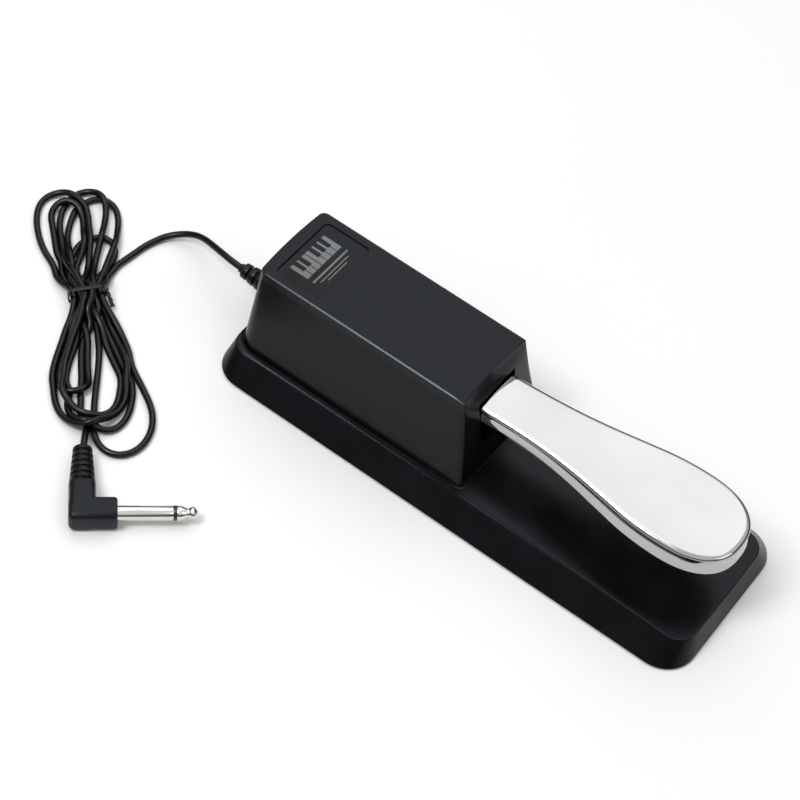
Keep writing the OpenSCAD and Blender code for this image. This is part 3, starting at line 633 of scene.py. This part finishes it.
def shell_skin():
    """The shell's skin: up its outside from the rim to the roof, and down its inside back to the rim."""
    bottom = outline(BASE_HALF, (-BASE_END, BASE_END), BASE_CORNER, BASE_CORNER)
    tucked = outline(BASE_HALF - 0.5, (-BASE_END + 0.5, BASE_END - 0.5), BASE_CORNER, BASE_CORNER)
    deck = outline(DECK_HALF, DECK_ENDS, DECK_CORNER, DECK_CORNER, scoop=-0.6)
    # a groove round the housing's foot fades out towards the front
    rear = [ease((y + 8) / 55) for _, y in housing_level(DECK_Z)]
    round_deck = [lerp(0.9, 2.6, ease((y + 15) / 60)) for _, y in deck]
    groove = [(x, y, DECK_Z - 1.1 * g) for (x, y), g in zip(housing_level(DECK_Z, 0.9), rear)]
    groove_floor = [(x, y, DECK_Z - 1.3 * g) for (x, y), g in zip(housing_level(DECK_Z, 0.35), rear)]
    rings = [level(tucked, 0.8), level(bottom, 1.2)]
    rings += fillet(level(bottom, 1.2), level(deck, DECK_Z), level(housing_level(DECK_Z, 1.3), DECK_Z),
                    round_deck, 6)
    rings += [level(housing_level(DECK_Z, 1.35), DECK_Z - 0.02), groove, groove_floor]
    rings.append(level(housing_level(DECK_Z, 0.1), DECK_Z + 0.1))
    rings.append(level(housing_level(DECK_Z + 0.9), DECK_Z + 0.9))
    rings += [level(housing_level(z), z) for z in (20, 30, 40, 44, 46, 48, 49.6, 50.5, 51, 51.5, 52.4)]
    rings += [level(housing_level(TOP_Z - 0.36), TOP_Z - 0.36), level(housing_level(TOP_Z, -0.6), TOP_Z)]
    roof_ends = (TOP_ENDS[0] + 1.6, TOP_ENDS[1] - 1.6)
    rings.append(level(outline(TOP_HALF - 1.6, roof_ends, 0.5, 2.0, 1.6, 1.0), TOP_Z))
    # the inside, from its roof down to the rim
    hollow = [(housing_level(TOP_Z, -WALL - 0.4), TOP_Z - WALL), (housing_level(30, -WALL), 30),
              (housing_level(DECK_Z, -WALL), DECK_Z - WALL + 0.1),
              (outline(DECK_HALF - 1.6, (DECK_ENDS[0] + 1.6, DECK_ENDS[1] - 1.6), 7, 7), DECK_Z - WALL),
              (outline(BASE_HALF - 3, (3 - BASE_END, BASE_END - 3), 12.5, 12.5), 0.8)]
    inside = [level(points, z) for points, z in hollow]
    points, faces = loft(rings + inside, caps=False)
    n = len(deck)
    total = len(rings) + len(inside)
    roof = (len(rings) - 1) * n
    faces = [f for f in faces if not (f[0] < roof + n <= f[2])]
    faces.append(tuple(range(roof, roof + n)))
    faces.append(tuple(range(roof + n, roof + 2 * n))[::-1])
    faces += [((total - 1) * n + i, (total - 1) * n + (i + 1) % n, (i + 1) % n, i) for i in range(n)]
    return points, faces


def boss_forms():
    """The hollow screw bosses, the rear ones' webs and the rib over the up stop."""
    forms = [box_form(*STOP_RIB, 0.3)]
    for side in (-1, 1):
        web = sorted(side * x for x in REAR_WEB[0])
        forms.append(box_form(web, *REAR_WEB[1:], 0.2))
        for x, y, top in BOSSES:
            profile = ((BOSS_HOLE_R, top - 0.4), (BOSS_HOLE_R, BOSS_FOOT),
                       (BOSS_R, BOSS_FOOT), (BOSS_R, top + 1.2))
            forms.append(loft([[(side * x + r * math.cos(a), y + r * math.sin(a), z)
                                for a in np.linspace(0, 2 * math.pi, 33)[:-1]] for r, z in profile]))
    return forms


def make_shell():
    """The housing, deck and skirt in one moulding."""
    shell = make_mesh("shell", *shell_skin())
    hole = loft(placed(lathe([(y, CORD_HOLE_R) for y in CORD_HOLE_Y], 48), (0, 0, CORD_Z), math.pi / 2))
    for form in (box_form(*SLOT, 0.5), recess_form(), hole):
        combine(shell, make_mesh("tool", *form), "DIFFERENCE")
    combine(shell, join([make_mesh("tool", *form) for form in boss_forms()]), "UNION")
    shade(shell, 28)
    finish_piece(shell, "base", "shell_abs", "top_shell")


def box_form(xs, ys, zs, soft):
    """A block whose upright edges are rounded."""
    corners = ((xs[1] - soft, ys[1] - soft), (xs[0] + soft, ys[1] - soft),
               (xs[0] + soft, ys[0] + soft), (xs[1] - soft, ys[0] + soft))
    ring = [p for k, at in enumerate(corners) for p in arc(at, soft, 90 * k, 90 * k + 90, 30)]
    return loft([level(ring, z) for z in zs])


def recess_form():
    """The label recess, as a block that widens a little towards its mouth."""
    def ring(grow, z):
        inward = RECESS_R - grow
        x, near, far = RECESS_HALF - inward, RECESS_Y[0] + inward, RECESS_Y[1] - inward
        corners = ((x, far), (-x, far), (-x, near), (x, near))
        points = [p for k, at in enumerate(corners) for p in arc(at, RECESS_R, 90 * k, 90 * k + 90, 15)]
        return level(points, z)

    depth = TOP_Z - RECESS_DEPTH
    return loft([ring(-0.25, depth), ring(-0.1, depth + 0.08), ring(0, depth + 0.3), ring(0.05, TOP_Z - 0.2),
                 ring(0.25, TOP_Z), ring(0.25, TOP_Z + 2)])


make_shell()


# ---------------------------------------------------------------- pedal
# The pedal's half width at even steps from its root to the start of its round toe
PEDAL_YS = (12, -2, -16, -30, -44, -58, -72, -86)
PEDAL_HALVES = (12.1, 12.1, 12.5, 13.5, 15.3, 17.8, 20.2, 21.1)
TOE_Y, TOE_POWER = -114.5, 2.4
PEDAL_T, SHOULDER, CROWN = 1.8, 3.0, 0.35
# The skirt below the rolled edge, round its lip and up inside it: (inset, drop) at the neck and at the toe
SKIRT = (((0.08, 2.0), (0.08, 2.3)), ((0.16, 2.5), (0.38, 4.6)), ((0.14, 2.8), (0.37, 5.1)),
         ((-0.05, 3.5), (0.18, 6.2)), ((-0.28, 4.3), (-0.2, 7.5)), ((-0.42, 5.3), (-0.58, 8.7)),
         ((-0.44, 6.5), (-0.7, 9.2)), ((-0.42, 7.8), (-0.68, 9.45)), ((-0.2, 8.15), (-0.4, 9.6)),
         ((0.5, 8.1), (0.5, 9.5)), ((1.2, 7.6), (1.2, 9.0)), ((PEDAL_T, 4.6), (PEDAL_T, 4.8)),
         ((PEDAL_T + 0.6, 2.6), (PEDAL_T + 0.6, 2.6)), ((3.6, PEDAL_T), (3.6, PEDAL_T)))


def table_curve(y):
    """The pedal's half width at y, on a smooth curve through the table."""
    step = PEDAL_YS[0] - PEDAL_YS[1]
    t = min(max((PEDAL_YS[0] - y) / step, 0), len(PEDAL_YS) - 1 - 1e-9)
    i, f = int(t), t - int(t)
    h = [PEDAL_HALVES[min(max(k, 0), len(PEDAL_YS) - 1)] for k in range(i - 1, i + 3)]
    m0, m1 = (h[2] - h[0]) / 2, (h[3] - h[1]) / 2 if i + 2 < len(PEDAL_YS) else 0
    return ((2 * f ** 3 - 3 * f ** 2 + 1) * h[1] + (f ** 3 - 2 * f ** 2 + f) * m0
            + (3 * f ** 2 - 2 * f ** 3) * h[2] + (f ** 3 - f ** 2) * m1)


def pedal_height(y):
    """The height of the top of the pedal at y: a rise towards the toe, with an arch in it."""
    t = (4 - y) / 118
    return 44.46 + 3.53 * t + 5.3 * t * (1 - t)


def pedal_outline():
    """Half of the pedal's outline, from the middle of its inner end round to the tip of its toe."""
    side = [(x, PEDAL_YS[0]) for x in np.linspace(0, PEDAL_HALVES[0], 7)[:-1]]
    side += [(table_curve(y), y) for y in np.linspace(PEDAL_YS[0], PEDAL_YS[-1], 50)]
    reach = PEDAL_YS[-1] - TOE_Y
    power = 2 / TOE_POWER
    side += [(PEDAL_HALVES[-1] * math.cos(a) ** power, PEDAL_YS[-1] - reach * math.sin(a) ** power)
             for a in np.linspace(0, math.pi / 2, 34)[1:-1]] + [(0.0, TOE_Y)]
    return side + [(-x, y) for x, y in side[1:-1]][::-1]


def pedal_ring(edge, neck, toe=None):
    """The outline moved in along its normal and down, by an (inset, drop) at the neck and one at the toe."""
    toe = toe or neck
    ring = []
    n = len(edge)
    for i, (x, y) in enumerate(edge):
        (ax, ay), (bx, by) = edge[i - 1], edge[(i + 1) % n]
        size = math.hypot(bx - ax, by - ay) or 1
        nx, ny = (by - ay) / size, -(bx - ax) / size
        if nx * x + ny * (y + 50) > 0:
            nx, ny = -nx, -ny
        t = ease((-15 - y) / 65)
        inset, drop = lerp(neck[0], toe[0], t), lerp(neck[1], toe[1], t)
        px, py = x + nx * inset, y + ny * inset
        ring.append((px, py, pedal_height(py) - drop))
    return ring


def shoulder():
    """The section of the pedal's rolled edge: a slow start, a round shoulder and a tight turn under it."""
    inset, drop, out = SHOULDER, 0.0, []
    for a in range(0, 104, 2):
        if a % 4 == 0:
            out.append((inset, drop))
        radius = 6.0 if a < 18 else 2.0 if a < 58 else 0.7
        inset -= radius * math.radians(2) * math.cos(math.radians(a + 1))
        drop += radius * math.radians(2) * math.sin(math.radians(a + 1))
    return out + [(inset, drop)]


def spine(y):
    """Where the ring point at y runs in to, on the pedal's middle line."""
    return min(max(y, TOE_Y + 20), PEDAL_YS[0] - 8)


def make_pedal():
    """The pressed and chromed pedal: a crowned top, a rolled edge and a skirt that is open underneath."""
    edge = pedal_outline()
    rings = []
    # the top, from its middle line out to the shoulder
    for t in (0.0, 0.3, 0.6, 0.8, 0.92):
        ring = []
        for x, y, _ in pedal_ring(edge, (SHOULDER, 0)):
            py = lerp(spine(y), y, t)
            ring.append((x * t, py, pedal_height(py) + CROWN * (1 - t * t)))
        rings.append(ring)
    rings += [pedal_ring(edge, step) for step in shoulder()]
    rings += [pedal_ring(edge, neck, toe) for neck, toe in SKIRT]
    rings.append([(0.0, spine(y), pedal_height(spine(y)) - PEDAL_T + CROWN) for _, y, _ in rings[-1]])
    pedal = make_mesh("pedal", *loft(rings, caps=False))
    weld(pedal, 0.00002)
    shade(pedal, 70)
    finish_piece(pedal, "pedal", "chrome", "pedal_plate")


make_pedal()


# ---------------------------------------------------------------- label
KEYS, KEY_W, KEY_GAP, KEY_Y, NOTCH = 7, 3.4, 0.4, (94.6, 104), (0.95, 98.4)
# Keys with a notch on their left and on their right, and each rule's y, half length and width
NOTCHED = ((1, 2, 4, 5, 6), (0, 1, 3, 4, 5))
RULES = ((91.2, 11.8, 0.9), (89.2, 9.5, 0.5), (87.6, 6.5, 0.5))
LABEL_INK = plastic("label_ink", (0.13, 0.135, 0.14), 0.45, vary=0.15, specular=0.3)


def make_label():
    """A keyboard pictogram and three rules, printed on the floor of the recess."""
    low = TOP_Z - RECESS_DEPTH + 0.01
    plates = []

    def plate(outline_points):
        plates.append(make_mesh("label", *loft([level(outline_points, z) for z in (low, low + 0.05)])))

    for k in range(KEYS):
        x0 = (k - KEYS / 2) * KEY_W + KEY_GAP / 2
        x1 = x0 + KEY_W - KEY_GAP
        left, right = (NOTCH[0] * (k in keys) for keys in NOTCHED)
        plate([(x0, KEY_Y[0]), (x1, KEY_Y[0]), (x1, NOTCH[1]), (x1 - right, NOTCH[1]), (x1 - right, KEY_Y[1]),
               (x0 + left, KEY_Y[1]), (x0 + left, NOTCH[1]), (x0, NOTCH[1])])
    for y, half, tall in RULES:
        plate([(-half, y), (half, y), (half, y + tall), (-half, y + tall)])
    label = join(plates)
    label.data.materials.append(LABEL_INK)
    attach(label, "base")


make_label()


# ---------------------------------------------------------------- gland, plug and tie
PLUG_AT, PLUG_TURN = (-135.6, 110.0, 5.6), math.radians(-49.5)
SHAFT_R = 3.175


def turned(name, profile, at, turn, sides=96, power=2.0, smooth=35):
    """A turned piece about its own X axis; a power above 2 squares its section."""
    rings = []
    for ring in lathe(profile, sides):
        out = []
        for x, y, z in ring:
            r = math.hypot(y, z) or 1e-9
            grow = (abs(y / r) ** power + abs(z / r) ** power) ** (-1 / power)
            out.append((x, y * grow, z * grow))
        rings.append(out)
    return make_mesh(name, *loft(placed(rings, at, turn)), smooth)


def ribs(start, step, wide, radius, taper, depth, count):
    """A profile of ribs with grooves between them."""
    out = []
    for k in range(count):
        x, r = start + step * k, radius - taper * k
        out += [(x, r - depth), (x, r), (x + wide, r - taper * 0.4), (x + wide, r - depth - taper * 0.4)]
    return out


def make_gland():
    """The cord's gland: a flange on each side of the rear wall and a ribbed boot."""
    profile = [(110, 1.4), (110, 5.4), (112, 5.4), (112, 3.8), (115.9, 3.8), (115.9, 5.2), (118.3, 5.1),
               (118.3, 3.7)]
    profile += ribs(119.6, 4.1, 2.8, 5.2, 0.5, 1.2, 4) + [(136.6, 2.1), (137, 1.6), (137, 1.2)]
    gland = turned("gland", rounded(profile, 0.4, 3), (0, 0, CORD_Z), math.pi / 2, 72)
    return finish_piece(gland, "base", "gland_pvc", "cable_gland")


def make_plug():
    """The right-angle plug: a squared grip with a ribbed boot, and a sleeve, ring and tip on its shaft."""
    cord_turn = PLUG_TURN + math.pi / 2
    end = [(-5.6, 3.4), (-5.35, 4.5), (-4.7, 5.2), (-3.7, 5.55), (-2.6, 5.6)]
    shaft_arm = turned("grip", end + [(12.9, 5.6), (13.9, 5.35), (14.3, 4.7), (14.3, 3.3), (12, 3.25)],
                       PLUG_AT, PLUG_TURN, 64, 4.2)
    cord_arm = turned("grip", end + [(12.6, 5.6), (13.7, 5.45), (14.3, 5.0), (14.5, 4.4)],
                      PLUG_AT, cord_turn, 64, 4.2)
    combine(shaft_arm, cord_arm, "UNION")
    boot = [(13.6, 2), (13.6, 4.6)] + ribs(15.0, 2.95, 1.9, 5.4, 0.25, 0.9, 6)
    boot += [(32.2, 2.1), (32.7, 1.6), (32.7, 1.2)]
    relief = turned("relief", rounded(boot, 0.3, 3), PLUG_AT, cord_turn, 64)
    grip = join([shaft_arm, relief])
    shade(grip, 40)
    finish_piece(grip, "base", "plug_pvc", "plug_grip")
    sleeve = turned("sleeve", [(12.6, 1.9), (12.6, SHAFT_R), (36.7, SHAFT_R), (36.9, 3.05), (36.9, 1.9)],
                    PLUG_AT, PLUG_TURN)
    finish_piece(sleeve, "base", "nickel", "plug_sleeve")
    ring = turned("ring", [(36.6, 1.9), (36.6, 3.0), (36.9, 3.15), (38.3, 3.15), (38.5, 3.0), (38.5, 1.9)],
                  PLUG_AT, PLUG_TURN)
    finish_piece(ring, "base", "insulator", "plug_insulator")
    nose = [(38.2, 1.2), (38.2, 3.05), (38.4, SHAFT_R), (39.9, SHAFT_R), (40.3, 3.1), (42.2, 2.15),
            (42.7, 1.98), (43.1, 2.0), (43.6, 2.35), (44.2, 2.7), (44.8, 2.78), (45.4, 2.6), (46.2, 1.85),
            (46.9, 1.0), (47.2, 0.4)]
    tip = turned("tip", nose, PLUG_AT, PLUG_TURN)
    finish_piece(tip, "base", "nickel", "plug_tip")
    return [grip, sleeve, ring, tip]


# A flat strip's section with soft corners, as parts of its half width and half thickness
STRIP = ((1, 0.45), (0.8, 1), (-0.8, 1), (-1, 0.45), (-1, -0.45), (-0.8, -1), (0.8, -1), (1, -0.45))


def ribbon(name, path, across, half_wide, half_thick, closed=False):
    """A flat strip along a path; across gives the direction of its width at each point."""
    rings = []
    n = len(path)
    for i, p in enumerate(path):
        a = path[i - 1] if closed or i else path[0]
        b = path[(i + 1) % n] if closed or i < n - 1 else path[-1]
        ahead = (Vector(b) - Vector(a)).normalized()
        wide = Vector(across[i])
        wide = (wide - ahead * wide.dot(ahead)).normalized()
        thick = ahead.cross(wide)
        rings.append([tuple(Vector(p) + wide * half_wide * u + thick * half_thick * v) for u, v in STRIP])
    if closed:
        rings.append(rings[0])
    return make_mesh(name, *loft(rings, caps=not closed))


def make_tie():
    """A twist tie: a flat band round the waist of the hank, its ends twisted together, and a free end."""
    half, low, high, soft = 8.1, 0.75, 9.6, 3.0
    corners = ((half - soft, high - soft), (soft - half, high - soft), (soft - half, low + soft),
               (half - soft, low + soft))
    loop = [on_hank((0, y, z)) for k, at in enumerate(corners)
            for y, z in arc(at, soft, 90 * k, 90 * k + 90, 15)]
    band = ribbon("tie", loop, [on_hank((1, 0, 0), True)] * len(loop), 1.05, 0.32, closed=True)
    twist = [(0.6 - 0.62 * k, -8.6 - 0.13 * k, 6.2 - 0.3 * k) for k in range(13)]
    turns = [on_hank((0, math.cos(k * 0.8), math.sin(k * 0.8)), True) for k in range(13)]
    tail = ribbon("tie", [on_hank(p) for p in twist], turns, 1.0, 0.5)
    spur = [(0.4 + 0.62 * k, -8.8 - 0.16 * k, 6.2 + 0.22 * k) for k in range(11)]
    free = ribbon("tie", [on_hank(p) for p in spur], [(0, 0, 1)] * len(spur), 0.55, 0.3)
    tie = join([band, tail, free])
    weld(tie, 0.000002)
    shade(tie, 50)
    return finish_piece(tie, "base", "tie_plastic", "twist_tie")


gland = make_gland()
plug = make_plug()
tie = make_tie()


# ---------------------------------------------------------------- spring
SPRING_Y, COIL_R, WIRE_R, TURNS, SPRING_Z = 28, 6.3, 0.7, 7, (8.0, 38.2)


def make_spring():
    """A coil spring with closed ends."""
    steps, sides = 40 * TURNS, 12
    rings = []
    for i in range(steps + 1):
        t = i / steps
        a = 2 * math.pi * TURNS * t
        z = lerp(SPRING_Z[0] + WIRE_R, SPRING_Z[1] - WIRE_R, 0.35 * ease(ease(t)) + 0.65 * t)
        out = Vector((math.cos(a), math.sin(a), 0))
        centre = Vector((0, SPRING_Y, z)) + out * COIL_R
        rings.append([tuple(centre + out * WIRE_R * math.cos(b) + Vector((0, 0, WIRE_R * math.sin(b))))
                      for b in (2 * math.pi * k / sides for k in range(sides))])
    spring = make_mesh("spring", *loft(rings), 50)
    finish_piece(spring, "base", "spring_steel", "return_spring")
    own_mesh(spring)


make_spring()


# ---------------------------------------------------------------- finish of the CAD pieces
for row in frame["record"]["subparts"]:
    coat(frame["nodes"][row["node"]], row["material_slot"])


# ---------------------------------------------------------------- floor and light
LIGHT_AIM = (0, 0, 25)


def floor_material():
    """A matt white floor with a very slow change of tone."""
    mat, nodes, links, shader, coords = node_material("floor", (0.8, 0.8, 0.795), 0.6, specular=0.3)
    slow = noise(nodes, links, coords, 3, 2)
    shades = tint(nodes, links, slow, (0.795, 0.795, 0.79), (0.81, 0.81, 0.805))
    links.new(shades, shader.inputs["Base Color"])
    return mat


def make_stage():
    """A plain floor, far larger than the view."""
    size = 4000
    corners = [(-size, -size, 0), (size, -size, 0), (size, size, 0), (-size, size, 0)]
    floor = make_mesh("floor", corners, [(0, 1, 2, 3)])
    floor.data.materials.append(floor_material())


def area_light(name, direction, distance, size, power):
    """A soft lamp in a direction from the pedal; distance and size in metres, power in watts."""
    data = bpy.data.lights.new(name, "AREA")
    data.shape, data.size, data.size_y, data.energy = "RECTANGLE", size[0], size[1], power
    lamp = bpy.data.objects.new(name, data)
    bpy.context.collection.objects.link(lamp)
    away = Vector(direction).normalized() * distance
    lamp.location = Vector(LIGHT_AIM) * MM + away
    lamp.rotation_euler = away.to_track_quat("Z", "Y").to_euler()


def make_light():
    """A studio that is dark at its floor and pale overhead, a softbox behind and three lamps."""
    world = bpy.data.worlds.new("studio")
    bpy.context.scene.world = world
    world.use_nodes = True
    nodes, links = world.node_tree.nodes, world.node_tree.links
    coords = nodes.new("ShaderNodeTexCoord")
    split = nodes.new("ShaderNodeSeparateXYZ")
    ramp = nodes.new("ShaderNodeValToRGB")
    links.new(coords.outputs["Generated"], split.inputs["Vector"])
    links.new(split.outputs["Z"], ramp.inputs["Fac"])
    links.new(ramp.outputs["Color"], nodes["Background"].inputs["Color"])
    stops = ramp.color_ramp.elements
    stops[0].color, stops[1].color = (0.03, 0.031, 0.034, 1), (0.85, 0.852, 0.855, 1)
    for place, shine in ((0.3, 0.1), (0.5, 0.32), (0.7, 0.85)):
        stops.new(place).color = (shine, shine * 1.003, shine * 1.006, 1)
    area_light("back softbox", (0.533, 0.279, 0.799), 1.6, (1.6, 1.6), 7.6)
    area_light("bridge", (-0.105, 0.279, 0.954), 1.5, (0.72, 0.9), 1.9)
    area_light("left lamp", (-0.426, 0.279, 0.862), 1.5, (0.35, 0.5), 9.5)
    area_light("front lamp", (0.1, -0.8, 0.6), 1.8, (0.8, 0.8), 2.5)
    bpy.context.scene.view_settings.view_transform = "Standard"


make_stage()
make_light()
